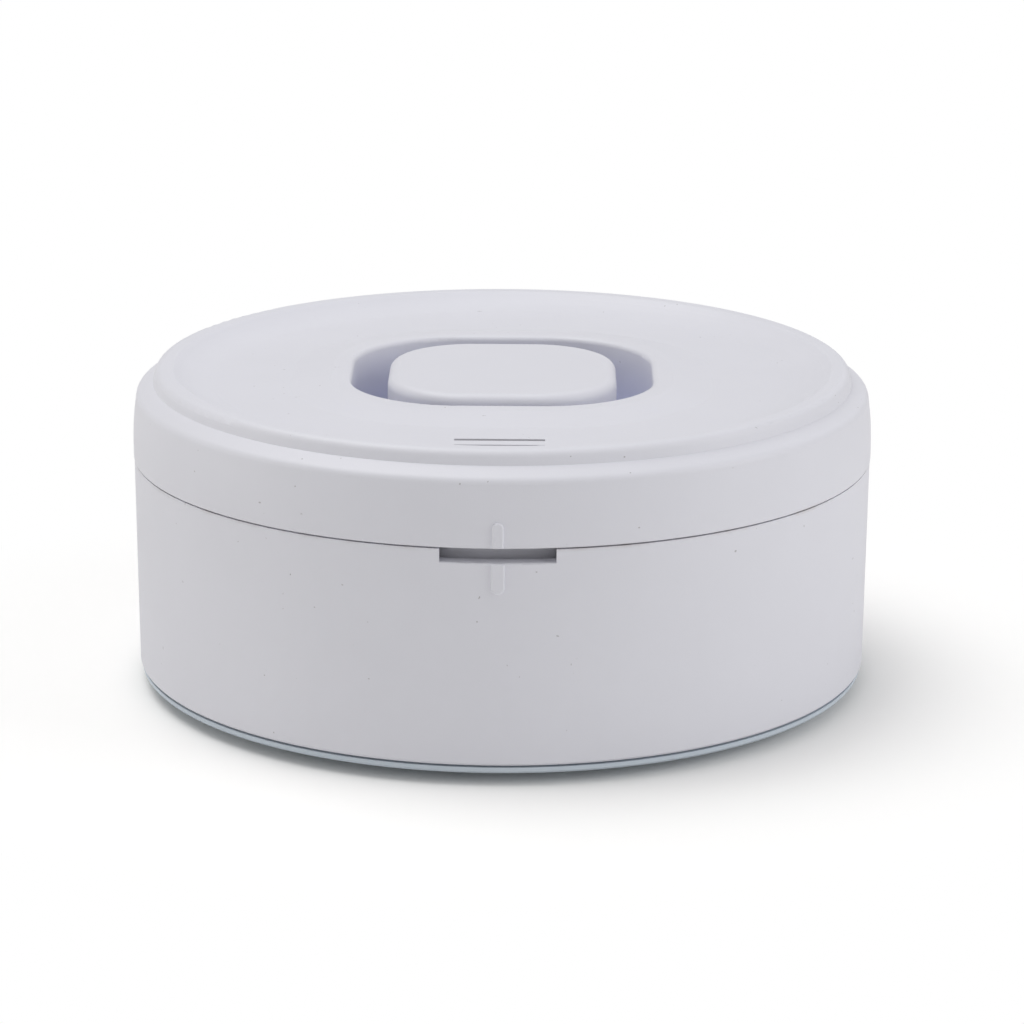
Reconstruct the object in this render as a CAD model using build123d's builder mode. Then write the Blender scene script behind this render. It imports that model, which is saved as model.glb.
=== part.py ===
"""Ceiling smoke alarm, lying ceiling side down: a bracket, a deep housing, a twist-off cover
with a test button standing in a smoke inlet well, and the works inside.

Millimetres. Z = 0 is the ceiling face of the bracket, +Z points into the room, and the seam
slot and the alignment ribs face -Y. The turning axis of every twist joint is Z.
"""

import os
from math import cos, radians, sin

from build123d import *

# --- driving sizes ---------------------------------------------------------------------------
body_radius = 55.0            # widest radius, at the foot of the cover wall
overall_height = 45.8         # ceiling face to the top of the raised ring
seam_height = 32.55           # top edge of the lower housing
shell_wall = 2.0              # wall of both shells
moving_gap = 0.3              # between pieces that turn or slide past each other
seam_gap = 0.25               # between housing edge and cover edge
shaft_clearance = 0.08        # radial, button stem in its guide
seat_gap = 0.1                # between a part and the pocket that holds it

# --- mounting bracket ------------------------------------------------------------------------
plate_rim_inset = 0.3         # rim inside the foot of the housing
plate_rim_thickness = 0.9
plate_thickness = 1.8
plate_step_gap = 0.9          # raised middle of the plate to the housing wall
plate_edge_chamfer = 0.35
fixing_spacing = 60.0         # centre to centre of the two ceiling screws
fixing_hole_radius = 2.25
fixing_slot_length = 8.0
hook_count = 3
hook_start_angle = 90.0
hook_radius = 30.0            # inner radius of each bracket hook
hook_thickness = 2.2
hook_reach = 1.8              # how far its head stands out over the housing floor
hook_head_height = 1.2
hook_half_angle = 7.0
hook_end_angle = 1.0          # free angle past each end of a hook
plate_twist_angle = 18.0      # turn that frees the housing from the bracket

# --- lower housing ---------------------------------------------------------------------------
housing_draft = 0.3           # radius lost towards the ceiling side
housing_top_inset = 0.1       # the cover overhangs the housing by this
housing_floor_bottom = 3.0
housing_floor_thickness = 2.0
slot_width = 16.1             # tool slot in the seam
slot_height = 1.9
slot_lip_fillet = 0.25
mark_proud = 0.35             # alignment ribs stand this far off the wall
mark_edge_fillet = 0.25
cover_mark_width = 1.6
cover_mark_length = 3.65
housing_mark_width = 1.9
housing_mark_length = 4.4
ledge_count = 4               # bayonet ledges inside the housing wall
ledge_start_angle = 45.0
ledge_half_angle = 6.5
ledge_reach = 1.3
ledge_height = 1.2
ledge_drop = 1.1              # from the housing edge down to the ledge
cover_twist_angle = 15.0      # turn that frees the cover from the housing

# --- cover -----------------------------------------------------------------------------------
wall_straight = 2.0           # plain part of the cover wall, above the seam
shoulder_inset = 0.62         # where wall and shoulder would meet unrounded, inside the wall
shoulder_drop = 3.5           # and below the top of the ring
shoulder_fillet = 1.3
lip_inset = 3.05              # foot of the raised ring, inside the wall
lip_height = 2.1              # from the shoulder to the top of the ring
lip_draft = 0.5               # the ring's side leans in by this
lip_fillet = 1.3
ring_width = 3.0
ring_inner_fillet = 0.6
dish_depth = 2.2              # below the top of the ring
dish_slope = 3.2              # width of the ring's inner slope
dish_slope_fillet = 8.0
collar_drop = 1.1             # rim of the well, below the top of the ring
collar_flange = 3.0
collar_ramp = 6.0
collar_edge_fillet = 1.2
skirt_wall = 1.3
skirt_depth = 4.2             # below the seam
lug_half_angle = 5.5
lug_height = 1.4

# --- smoke inlet well and test button ----------------------------------------------------------
well_width = 44.6
well_length = 43.2
well_corner = 16.3
well_wall = 1.6
well_depth = 10.2             # from its rim
well_edge_fillet = 0.8
button_width = 33.9
button_length = 34.0
button_corner = 12.5
button_drop = 0.9             # top of the button, below the top of the ring
button_skirt_height = 8.7
button_wall = 1.6
button_edge_fillet = 1.5
button_travel = 1.0
stem_radius = 3.0
guide_wall = 1.5
guide_height = 4.0
spring_radius = 6.4
spring_wire = 0.7
spring_turns = 5
retainer_radius = 5.0
retainer_thickness = 0.7
stem_tip_chamfer = 0.3
inlet_count = 16
inlet_length = 5.4
inlet_width = 2.2
inlet_corner_shift = 1.6

# --- status light ------------------------------------------------------------------------------
slit_length = 12.75
slit_widths = (1.0, 0.5)
slit_centre = -38.9           # Y halfway between the two slits
slit_spacing = 2.95
lens_margin = 1.2
lens_thickness = 1.2
lens_recess = 0.35            # the lens fins stop this far under the dish
pipe_radius = 2.0
pipe_foot_radius = 3.6
pipe_foot_wall = 0.9
pipe_gap = 1.0                # pipe to lens
led_size = (3.2, 2.8, 1.9)
led_bevel = 0.2

# --- main board ----------------------------------------------------------------------------------
board_edge_gap = 3.6          # board to the housing wall
board_thickness = 1.6
board_height = 12.0           # its ceiling side
board_screw_inset = 6.0       # screw circle inside the board's edge
board_screw_angles = (0, 55, 125, 180, 278)
boss_radius = 3.4
screw_shank = 1.25
screw_head_radius = 2.6
screw_head_height = 1.6
screw_length = 6.0
screw_recess = 0.7

# --- test switch -----------------------------------------------------------------------------------
switch_size = 6.0
switch_height = 3.4
plunger_radius = 1.7
plunger_proud = 1.2           # above the switch body at rest
plunger_travel = 0.5
stem_lost_motion = 0.6        # stem to plunger with the button up
switch_bore_depth = 1.8
switch_corner = 0.4

# --- optical chamber --------------------------------------------------------------------------------
chamber_y = 26.2
chamber_radius = 21.5
chamber_floor = 2.0
chamber_inner_height = 11.0
chamber_cap_thickness = 1.6
screen_thickness = 0.4
screen_inset = 1.0            # screen inside the chamber's edge
screen_columns = 36
screen_rows = 3
screen_bar = 0.5
screen_window = 2.6
vane_count = 18
vane_radius = 16.6
vane_length = 5.0
vane_thickness = 0.9
vane_angle = 35.0
optic_radius = 2.5
optic_height = 5.6            # optic axis above the chamber floor
optic_distance = 10.5
optic_wall = 1.0
optic_block_length = 7.0
optic_tip_distance = 8.0      # chamber middle to the tip of each optic
optic_body_length = 6.0
optic_dome = 2.0
optic_angles = (212.0, 328.0)
lead_size = 0.5
lead_spacing = 2.5
vane_clear_angle = 22.0       # vanes keep this far off each optic
shield_size = (9.0, 8.0, 3.0)
shield_sheet = 0.3
shield_corner = 0.8
shield_place = (33.0, 19.0)

# --- sounder ----------------------------------------------------------------------------------------
sounder_x = -22.0
sounder_y = -20.2
sounder_radius = 18.0
sounder_wall = 1.4
sounder_height = 11.5
sounder_hole_radius = 3.2
disc_radius = 15.5
disc_thickness = 0.3
disc_height = 5.0             # over the board
ceramic_radius = 10.5
ceramic_thickness = 0.25
contact_radius = 0.8
contact_foot = 0.8
disc_ledge = 0.9              # the disc rests on this much of the rim
contact_offsets = (0.0, 7.0, 12.4)   # two on the ceramic, one on the brass

# --- battery ------------------------------------------------------------------------------------------
cell_radius = 8.45
cell_length = 33.5
cell_nub_radius = 3.2
cell_nub_length = 1.0
cell_x = 18.5
cell_y = -17.0
holder_wall = 1.2
holder_bottom = 7.3
holder_side_height = 12.0
holder_flange = 1.5
holder_flange_thickness = 1.2
contact_thickness = 0.4
contact_dimple = 1.1
contact_plate = 11.0
contact_taper = 30
cell_edge_fillet = 0.6

# --- soldered parts --------------------------------------------------------------------------------
chip_place = (36.0, 6.5)
chip_size = (7.0, 7.0, 1.0)
coil_place = (38.0, -14.0)
coil_radius = 4.5
coil_height = 8.5
coil_flange = 1.2
capacitor_places = ((-33.0, 8.0), (-40.5, 12.0))
capacitor_radius = 3.2
capacitor_height = 7.8
capacitor_rim_fillet = 0.5
resistor_place = (-34.0, 21.5)
resistor_pitch = (3.2, 2.6)
resistor_size = (2.0, 1.25, 0.55)
ceramic_place = (34.5, -25.0)
ceramic_size = (1.25, 2.0, 0.9)

# --- sizes worked out from the above --------------------------------------------------------------
housing_radius = body_radius - housing_top_inset
housing_foot_radius = housing_radius - housing_draft
housing_foot = plate_rim_thickness + moving_gap
housing_bore = housing_foot_radius - shell_wall
housing_floor_top = housing_floor_bottom + housing_floor_thickness
cover_foot = seam_height + seam_gap
cover_bore = body_radius - shell_wall
shoulder_radius = body_radius - shoulder_inset
shoulder_height = overall_height - shoulder_drop
lip_radius = body_radius - lip_inset
lip_foot_height = overall_height - lip_height
ring_inner_radius = lip_radius - ring_width
dish_height = overall_height - dish_depth
dish_slope_radius = ring_inner_radius - dish_slope
collar_height = overall_height - collar_drop
cover_ceiling = dish_height - shell_wall
skirt_foot = seam_height - skirt_depth
skirt_radius = housing_bore - ledge_reach - moving_gap
skirt_bore = skirt_radius - skirt_wall
plate_radius = housing_foot_radius - plate_rim_inset
board_radius = housing_bore - board_edge_gap
board_screw_circle = board_radius - board_screw_inset
well_floor_top = collar_height - well_depth
button_top = overall_height - button_drop
ledge_top = seam_height - ledge_drop
ledge_foot = ledge_top - ledge_height
lug_top = ledge_foot - moving_gap
lug_foot = lug_top - lug_height
lug_radius = housing_bore - moving_gap
well_floor_bottom = well_floor_top - well_wall
button_bottom = button_top - button_skirt_height
button_ceiling = button_top - button_wall
board_top = board_height + board_thickness
switch_top = board_top + switch_height
plunger_top = switch_top + plunger_proud
stem_bottom = plunger_top + stem_lost_motion
guide_bore = stem_radius + shaft_clearance
guide_radius = guide_bore + guide_wall
guide_top = well_floor_top + guide_height
chamber_bottom = board_top
chamber_floor_top = chamber_bottom + chamber_floor
chamber_cap_bottom = chamber_floor_top + chamber_inner_height
screen_radius = chamber_radius - screen_inset
optic_axis_height = chamber_floor_top + optic_height
sounder_top = board_top + sounder_height
disc_bottom = board_top + disc_height
holder_width = 2 * (cell_radius + seat_gap + holder_wall)
holder_inside_length = cell_length + cell_nub_length + contact_thickness * 2 + contact_dimple
holder_length = holder_inside_length + 2 * holder_wall
cell_axis_height = holder_bottom + holder_wall + seat_gap + cell_radius
cell_front = cell_y - holder_inside_length / 2 + contact_thickness + contact_dimple
hook_head_bottom = housing_floor_top + moving_gap
hook_top = hook_head_bottom + hook_head_height
housing_mark_top = seam_height - slot_height
housing_mark_straight = housing_mark_length - housing_mark_width / 2
cover_mark_straight = cover_mark_length - cover_mark_width / 2
slit_offsets = (slit_spacing / 2, -slit_spacing / 2)
pipe_top = cover_ceiling - lens_thickness - pipe_gap
spring_height = button_ceiling - well_floor_top - spring_wire - seat_gap
screen_pitch = (chamber_inner_height - screen_bar) / screen_rows
optic_block_width = 2 * (optic_radius + seat_gap + optic_wall)
optic_lead_distance = optic_tip_distance + optic_body_length - lead_size
disc_top = disc_bottom + disc_thickness
sounder_place = (sounder_x, sounder_y)
cell_place = (cell_x, cell_y)
contact_reaches = tuple((along, disc_height - (ceramic_thickness if along < ceramic_radius else 0))
                        for along in contact_offsets)


def at_angle(radius, angle):
    """The point at a radius and an angle in degrees."""
    return (radius * cos(radians(angle)), radius * sin(radians(angle)))


def sector(inner, outer, centre_angle, half_angle):
    """A flat ring sector round the origin, for add() in a sketch."""
    low = centre_angle - half_angle
    high = centre_angle + half_angle
    with BuildSketch() as shape:
        with BuildLine():
            ThreePointArc(at_angle(outer, low), at_angle(outer, centre_angle), at_angle(outer, high))
            Line(at_angle(outer, high), at_angle(inner, high))
            ThreePointArc(at_angle(inner, high), at_angle(inner, centre_angle), at_angle(inner, low))
            Line(at_angle(inner, low), at_angle(outer, low))
        make_face()
    return shape.sketch


def spread(count, start):
    """Angles of evenly spaced features, in degrees."""
    return [start + 360.0 / count * i for i in range(count)]


def inlet_circle(angle):
    """Radius of the middle of the well's channel at an angle, wider at its corners."""
    side = (well_width + button_width) / 4
    return side + inlet_corner_shift * abs(sin(radians(2 * angle)))


def optic_plane(angle, distance):
    """Plane across an optic's axis, at a distance from the chamber's middle, facing outwards."""
    x, y = at_angle(distance, angle)
    return Plane(origin=(x, chamber_y + y, optic_axis_height), z_dir=(*at_angle(1, angle), 0))


board_screw_places = [at_angle(board_screw_circle, angle) for angle in board_screw_angles]
vane_angles = [angle for angle in spread(vane_count, 0)
               if min(abs(angle - optic) for optic in optic_angles) > vane_clear_angle]


# --- mounting bracket ------------------------------------------------------------------------
with BuildPart() as mounting_plate:
    with BuildSketch(Plane.XY):
        Circle(plate_radius)
    extrude(amount=plate_rim_thickness)
    chamfer(mounting_plate.edges().group_by(Axis.Z)[0], plate_edge_chamfer)
    with BuildSketch(Plane.XY):
        Circle(housing_bore - plate_step_gap)
    extrude(amount=plate_thickness)
    with BuildSketch(Plane.XY.offset(plate_thickness)):
        for angle in spread(hook_count, hook_start_angle):
            add(sector(hook_radius, hook_radius + hook_thickness, angle, hook_half_angle))
    extrude(amount=hook_top - plate_thickness)
    with BuildSketch(Plane.XY.offset(hook_head_bottom)):
        for angle in spread(hook_count, hook_start_angle):
            add(sector(hook_radius, hook_radius + hook_thickness + hook_reach, angle,
                       hook_half_angle))
    extrude(amount=hook_head_height)
    with BuildSketch(Plane.XY):
        with GridLocations(fixing_spacing, 0, 2, 1):
            SlotOverall(fixing_slot_length, 2 * fixing_hole_radius)
    extrude(amount=plate_thickness, mode=Mode.SUBTRACT)
mounting_plate.part.label = "mounting_plate"

# --- lower housing ---------------------------------------------------------------------------
with BuildPart() as lower_housing:
    with BuildSketch(Plane.XZ):
        with BuildLine():
            Polyline((0, housing_floor_bottom), (housing_bore, housing_floor_bottom),
                     (housing_bore, housing_foot), (housing_foot_radius, housing_foot),
                     (housing_radius, seam_height), (housing_bore, seam_height),
                     (housing_bore, housing_floor_top), (0, housing_floor_top), close=True)
        make_face()
    revolve(axis=Axis.Z)
    foot_edges = lower_housing.edges().filter_by(GeomType.CIRCLE).group_by(Axis.Z)[0]
    chamfer(foot_edges.sort_by(SortBy.RADIUS)[-1], plate_edge_chamfer)
    # bayonet ledges that hold the cover's lugs down
    with BuildSketch(Plane.XY.offset(ledge_foot)):
        for angle in spread(ledge_count, ledge_start_angle):
            add(sector(housing_bore - ledge_reach, housing_bore + shell_wall / 2, angle,
                       ledge_half_angle))
    extrude(amount=ledge_height)
    # tool slot in the top edge
    with BuildSketch(Plane.XY.offset(seam_height)):
        with Locations((0, -body_radius)):
            Rectangle(slot_width, 4 * shell_wall)
    extrude(amount=-slot_height, mode=Mode.SUBTRACT)
    slot_lip = lower_housing.edges().filter_by(GeomType.CIRCLE).filter_by(
        lambda edge: abs(edge.center().Z - housing_mark_top) < 0.01).sort_by(SortBy.RADIUS)[-1]
    fillet(slot_lip, slot_lip_fillet)
    # alignment rib, from the slot down to a round end
    with BuildSketch(Plane.XZ.offset(housing_bore + shell_wall / 2)):
        with Locations((0, housing_mark_top - housing_mark_straight / 2)):
            Rectangle(housing_mark_width, housing_mark_straight)
        with Locations((0, housing_mark_top - housing_mark_straight)):
            Circle(housing_mark_width / 2)
    extrude(amount=housing_radius + mark_proud - housing_bore - shell_wall / 2)
    fillet(lower_housing.faces().sort_by(Axis.Y)[0].edges(), mark_edge_fillet)
    # arcs that let the bracket hooks in and lead them to their locked place
    with BuildSketch(Plane.XY.offset(housing_floor_bottom)):
        for angle in spread(hook_count, hook_start_angle):
            add(sector(hook_radius - moving_gap, hook_radius + hook_thickness + moving_gap,
                       angle - plate_twist_angle / 2,
                       hook_half_angle + hook_end_angle + plate_twist_angle / 2))
            add(sector(hook_radius - moving_gap,
                       hook_radius + hook_thickness + hook_reach + moving_gap,
                       angle - plate_twist_angle, hook_half_angle + hook_end_angle))
    extrude(amount=housing_floor_thickness, mode=Mode.SUBTRACT)
    # bosses that carry the board
    with BuildSketch(Plane.XY.offset(housing_floor_top)):
        with Locations(*board_screw_places):
            Circle(boss_radius)
    extrude(amount=board_height - housing_floor_top)
    with BuildSketch(Plane.XY.offset(board_height)):
        with Locations(*board_screw_places):
            Circle(screw_shank)
    extrude(amount=board_thickness - screw_length, mode=Mode.SUBTRACT)
lower_housing.part.label = "lower_housing"

# --- cover: wall, shoulder, raised ring, dish, collar, well and skirt ---------------------------
with BuildPart() as upper_cover:
    with BuildSketch(Plane.XZ) as cover_section:
        with BuildLine():
            Line((body_radius, cover_foot), (body_radius, cover_foot + wall_straight))
            TangentArc((body_radius, cover_foot + wall_straight), (shoulder_radius, shoulder_height),
                       tangent=(0, 1))
            Polyline((shoulder_radius, shoulder_height), (lip_radius, lip_foot_height),
                     (lip_radius - lip_draft, overall_height), (ring_inner_radius, overall_height),
                     (dish_slope_radius, dish_height), (0, dish_height), (0, cover_ceiling),
                     (cover_bore - shell_wall, cover_ceiling), (cover_bore, cover_ceiling - shell_wall),
                     (cover_bore, cover_foot), (body_radius, cover_foot))
        make_face()
        for corner, size in (((shoulder_radius, shoulder_height), shoulder_fillet),
                             ((lip_radius - lip_draft, overall_height), lip_fillet),
                             ((ring_inner_radius, overall_height), ring_inner_fillet),
                             ((dish_slope_radius, dish_height), dish_slope_fillet)):
            fillet(cover_section.vertices().sort_by_distance(corner)[0], size)
    revolve(axis=Axis.Z)
    # collar ramp up to the rim of the well
    with BuildSketch(Plane.XY.offset(dish_height)):
        RectangleRounded(well_width + 2 * (collar_flange + collar_ramp),
                         well_length + 2 * (collar_flange + collar_ramp),
                         well_corner + collar_flange + collar_ramp)
    with BuildSketch(Plane.XY.offset(collar_height)):
        RectangleRounded(well_width + 2 * collar_flange, well_length + 2 * collar_flange,
                         well_corner + collar_flange)
    loft()
    fillet(upper_cover.faces().filter_by(Plane.XY).filter_by(
        lambda face: abs(face.center().Z - collar_height) < 0.01)[0].edges(), collar_edge_fillet)
    # well walls and floor
    with BuildSketch(Plane.XY.offset(well_floor_bottom)):
        RectangleRounded(well_width + 2 * well_wall, well_length + 2 * well_wall,
                         well_corner + well_wall)
    extrude(amount=dish_height - well_floor_bottom)
    with BuildSketch(Plane.XY.offset(well_floor_top)):
        RectangleRounded(well_width, well_length, well_corner)
    extrude(amount=overall_height - well_floor_top, mode=Mode.SUBTRACT)
    well_rim = upper_cover.faces().filter_by(Plane.XY).filter_by(
        lambda face: abs(face.center().Z - collar_height) < 0.01)[0]
    fillet(well_rim.inner_wires()[0].edges(), well_edge_fillet)
    # guide for the button stem
    with BuildSketch(Plane.XY.offset(well_floor_bottom)):
        Circle(guide_radius)
    extrude(amount=guide_top - well_floor_bottom)
    with BuildSketch(Plane.XY.offset(well_floor_bottom)):
        Circle(guide_bore)
    extrude(amount=guide_top - well_floor_bottom, mode=Mode.SUBTRACT)
    # smoke inlets round the floor of the well
    with BuildSketch(Plane.XY.offset(well_floor_bottom)):
        for angle in spread(inlet_count, 0):
            with Locations(Location((*at_angle(inlet_circle(angle), angle), 0), (0, 0, angle + 90))):
                SlotOverall(inlet_length, inlet_width)
    extrude(amount=well_wall, mode=Mode.SUBTRACT)
    # slits over the status light
    with BuildSketch(Plane.XY.offset(cover_ceiling)):
        for offset_y, width in zip(slit_offsets, slit_widths):
            with Locations((0, slit_centre + offset_y)):
                Rectangle(slit_length, width)
    extrude(amount=overall_height - cover_ceiling, mode=Mode.SUBTRACT)
    # skirt and its bayonet lugs
    with BuildSketch(Plane.XY.offset(skirt_foot)):
        Circle(skirt_radius)
        Circle(skirt_bore, mode=Mode.SUBTRACT)
    extrude(amount=cover_ceiling - skirt_foot)
    with BuildSketch(Plane.XY.offset(lug_foot)):
        for angle in spread(ledge_count, ledge_start_angle):
            add(sector(skirt_radius - skirt_wall / 2, lug_radius, angle, lug_half_angle))
    extrude(amount=lug_height)
    # alignment rib, from the seam up to a round end
    with BuildSketch(Plane.XZ.offset(cover_bore + shell_wall / 2)):
        with Locations((0, cover_foot + cover_mark_straight / 2)):
            Rectangle(cover_mark_width, cover_mark_straight)
        with Locations((0, cover_foot + cover_mark_straight)):
            Circle(cover_mark_width / 2)
    extrude(amount=body_radius + mark_proud - cover_bore - shell_wall / 2)
    fillet(upper_cover.faces().sort_by(Axis.Y)[0].edges(), mark_edge_fillet)
upper_cover.part.label = "upper_cover"

# --- test button with its guided stem -----------------------------------------------------------
with BuildPart() as test_button:
    with BuildSketch(Plane.XY.offset(button_bottom)):
        RectangleRounded(button_width, button_length, button_corner)
    extrude(amount=button_skirt_height)
    fillet(test_button.edges().group_by(Axis.Z)[-1], button_edge_fillet)
    with BuildSketch(Plane.XY.offset(button_bottom)):
        RectangleRounded(button_width - 2 * button_wall, button_length - 2 * button_wall,
                         button_corner - button_wall)
    extrude(amount=button_ceiling - button_bottom, mode=Mode.SUBTRACT)
    with BuildSketch(Plane.XY.offset(stem_bottom)):
        Circle(stem_radius)
    extrude(amount=button_ceiling - stem_bottom)
    chamfer(test_button.edges().group_by(Axis.Z)[0], stem_tip_chamfer)
test_button.part.label = "test_button"

with BuildPart() as button_retainer:
    with BuildSketch(Plane.XY.offset(well_floor_bottom - moving_gap)):
        Circle(retainer_radius)
        Circle(stem_radius, mode=Mode.SUBTRACT)
    extrude(amount=-retainer_thickness)
button_retainer.part.label = "button_retainer"

with BuildPart() as button_spring:
    with BuildLine(Plane.XY.offset(well_floor_top + spring_wire / 2)) as spring_path:
        Helix(pitch=spring_height / spring_turns, height=spring_height, radius=spring_radius)
    with BuildSketch(Plane(origin=spring_path.line @ 0, z_dir=spring_path.line % 0)):
        Circle(spring_wire / 2)
    sweep(path=spring_path.line, is_frenet=True)
button_spring.part.label = "button_spring"

# --- status light: lens behind the slits, light pipe and lamp -----------------------------------
with BuildPart() as status_lens:
    with BuildSketch(Plane.XY.offset(cover_ceiling - lens_thickness)):
        with Locations((0, slit_centre)):
            Rectangle(slit_length + 2 * lens_margin, slit_spacing + slit_widths[0] + 2 * lens_margin)
    extrude(amount=lens_thickness)
    with BuildSketch(Plane.XY.offset(cover_ceiling)):
        for offset_y, width in zip(slit_offsets, slit_widths):
            with Locations((0, slit_centre + offset_y)):
                Rectangle(slit_length - 2 * seat_gap, width - 2 * seat_gap)
    extrude(amount=dish_height - lens_recess - cover_ceiling)
status_lens.part.label = "status_lens"

with BuildPart() as light_pipe:
    with BuildSketch(Plane.XY.offset(board_top)):
        with Locations((0, slit_centre)):
            Circle(pipe_foot_radius)
    extrude(amount=led_size[2] + 2 * pipe_foot_wall)
    with BuildSketch(Plane.XY.offset(board_top)):
        with Locations((0, slit_centre)):
            Circle(pipe_foot_radius - pipe_foot_wall)
    extrude(amount=led_size[2] + pipe_foot_wall, mode=Mode.SUBTRACT)
    with BuildSketch(Plane.XY.offset(board_top + led_size[2] + pipe_foot_wall)):
        with Locations((0, slit_centre)):
            Circle(pipe_radius)
    extrude(amount=pipe_top - board_top - led_size[2] - pipe_foot_wall)
light_pipe.part.label = "light_pipe"

with BuildPart() as status_led:
    with BuildSketch(Plane.XY.offset(board_top)):
        with Locations((0, slit_centre)):
            Rectangle(led_size[0], led_size[1])
    extrude(amount=led_size[2])
    chamfer(status_led.edges().group_by(Axis.Z)[-1], led_bevel)
status_led.part.label = "status_led"

# --- main board and its screws --------------------------------------------------------------------
with BuildPart() as main_board:
    with BuildSketch(Plane.XY.offset(board_height)):
        Circle(board_radius)
        with Locations((cell_x, cell_y)):
            Rectangle(holder_width + 2 * seat_gap, holder_length + 2 * seat_gap, mode=Mode.SUBTRACT)
        with Locations(*board_screw_places):
            Circle(screw_shank + seat_gap, mode=Mode.SUBTRACT)
    extrude(amount=board_thickness)
main_board.part.label = "main_board"

with BuildPart() as board_screws:
    with BuildSketch(Plane.XY.offset(board_top)):
        with Locations(*board_screw_places):
            Circle(screw_head_radius)
    extrude(amount=screw_head_height)
    fillet(board_screws.edges().group_by(Axis.Z)[-1], screw_head_height / 2)
    with BuildSketch(Plane.XY.offset(board_top)):
        with Locations(*board_screw_places):
            Circle(screw_shank)
    extrude(amount=-screw_length)
    with BuildSketch(Plane.XY.offset(board_top + screw_head_height)):
        with Locations(*board_screw_places):
            Rectangle(screw_head_radius, screw_recess)
            Rectangle(screw_recess, screw_head_radius)
    extrude(amount=-screw_head_height / 2, mode=Mode.SUBTRACT)
board_screws.part.label = "board_screws"

# --- test switch under the stem -------------------------------------------------------------------
with BuildPart() as test_switch:
    with BuildSketch(Plane.XY.offset(board_top)):
        Rectangle(switch_size, switch_size)
    extrude(amount=switch_height)
    with BuildSketch(Plane.XY.offset(switch_top)):
        Circle(plunger_radius + shaft_clearance)
    extrude(amount=-switch_bore_depth, mode=Mode.SUBTRACT)
    chamfer(test_switch.edges().filter_by(Axis.Z), switch_corner)
test_switch.part.label = "test_switch"

with BuildPart() as switch_plunger:
    with BuildSketch(Plane.XY.offset(plunger_top)):
        Circle(plunger_radius)
    extrude(amount=plunger_travel + moving_gap - plunger_proud - switch_bore_depth)
    chamfer(switch_plunger.edges().group_by(Axis.Z)[-1], stem_tip_chamfer)
switch_plunger.part.label = "switch_plunger"

# --- optical chamber --------------------------------------------------------------------------------
with BuildPart() as chamber_base:
    with BuildSketch(Plane.XY.offset(chamber_bottom)):
        with Locations((0, chamber_y)):
            Circle(chamber_radius)
    extrude(amount=chamber_floor)
    # light-trap vanes, leaving the optics' sector clear
    with BuildSketch(Plane.XY.offset(chamber_floor_top)):
        for angle in vane_angles:
            x, y = at_angle(vane_radius, angle)
            with Locations(Location((x, chamber_y + y, 0), (0, 0, angle + vane_angle))):
                Rectangle(vane_length, vane_thickness)
    extrude(amount=chamber_inner_height)
    # blocks that hold the two optics, each bored towards the middle
    for angle in optic_angles:
        x, y = at_angle(optic_distance, angle)
        with BuildSketch(Plane.XY.offset(chamber_floor_top)):
            with Locations(Location((x, chamber_y + y, 0), (0, 0, angle))):
                Rectangle(optic_block_length, optic_block_width)
        extrude(amount=optic_height + optic_radius + optic_wall)
        with BuildSketch(optic_plane(angle, 0)):
            Circle(optic_radius + seat_gap)
        extrude(amount=optic_distance + optic_block_length, mode=Mode.SUBTRACT)
        # way down for the leads
        x, y = at_angle(optic_lead_distance, angle)
        with BuildSketch(Plane.XY.offset(chamber_bottom)):
            with Locations(Location((x, chamber_y + y, 0), (0, 0, angle))):
                Rectangle(2 * lead_size, lead_spacing + 2 * lead_size)
        extrude(amount=chamber_floor + optic_height, mode=Mode.SUBTRACT)
chamber_base.part.label = "chamber_base"

with BuildPart() as insect_screen:
    with BuildSketch(Plane.XY.offset(chamber_floor_top)):
        with Locations((0, chamber_y)):
            Circle(screen_radius)
            Circle(screen_radius - screen_thickness, mode=Mode.SUBTRACT)
    extrude(amount=chamber_inner_height)
    for row in range(screen_rows):
        with BuildSketch(Plane.XY.offset(chamber_floor_top + screen_bar + row * screen_pitch)):
            for angle in spread(screen_columns, 0):
                x, y = at_angle(screen_radius, angle)
                with Locations(Location((x, chamber_y + y, 0), (0, 0, angle))):
                    Rectangle(4 * screen_thickness, screen_window)
        extrude(amount=screen_pitch - screen_bar, mode=Mode.SUBTRACT)
insect_screen.part.label = "insect_screen"

with BuildPart() as chamber_cap:
    with BuildSketch(Plane.XY.offset(chamber_cap_bottom)):
        with Locations((0, chamber_y)):
            Circle(chamber_radius)
    extrude(amount=chamber_cap_thickness)
    fillet(chamber_cap.edges().group_by(Axis.Z)[-1], chamber_cap_thickness / 2)
    with BuildSketch(Plane.XY.offset(chamber_cap_bottom)):
        with Locations((0, chamber_y)):
            Circle(chamber_radius)
            Circle(screen_radius + seat_gap, mode=Mode.SUBTRACT)
    extrude(amount=-chamber_cap_thickness)
chamber_cap.part.label = "chamber_cap"

with BuildPart() as infrared_emitter:
    with BuildSketch(optic_plane(optic_angles[0], optic_tip_distance)):
        Circle(optic_radius)
    extrude(amount=optic_body_length)
    fillet(infrared_emitter.edges().filter_by(GeomType.CIRCLE).sort_by_distance(
        (0, chamber_y, optic_axis_height))[0], optic_dome)
    for side in (-1, 1):
        x, y = at_angle(optic_lead_distance, optic_angles[0])
        with BuildSketch(Plane.XY.offset(board_top)):
            with Locations(Location((x, chamber_y + y, 0), (0, 0, optic_angles[0]))):
                with Locations((0, side * lead_spacing / 2)):
                    Rectangle(lead_size, lead_size)
        extrude(amount=optic_axis_height - board_top)
infrared_emitter.part.label = "infrared_emitter"

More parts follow.
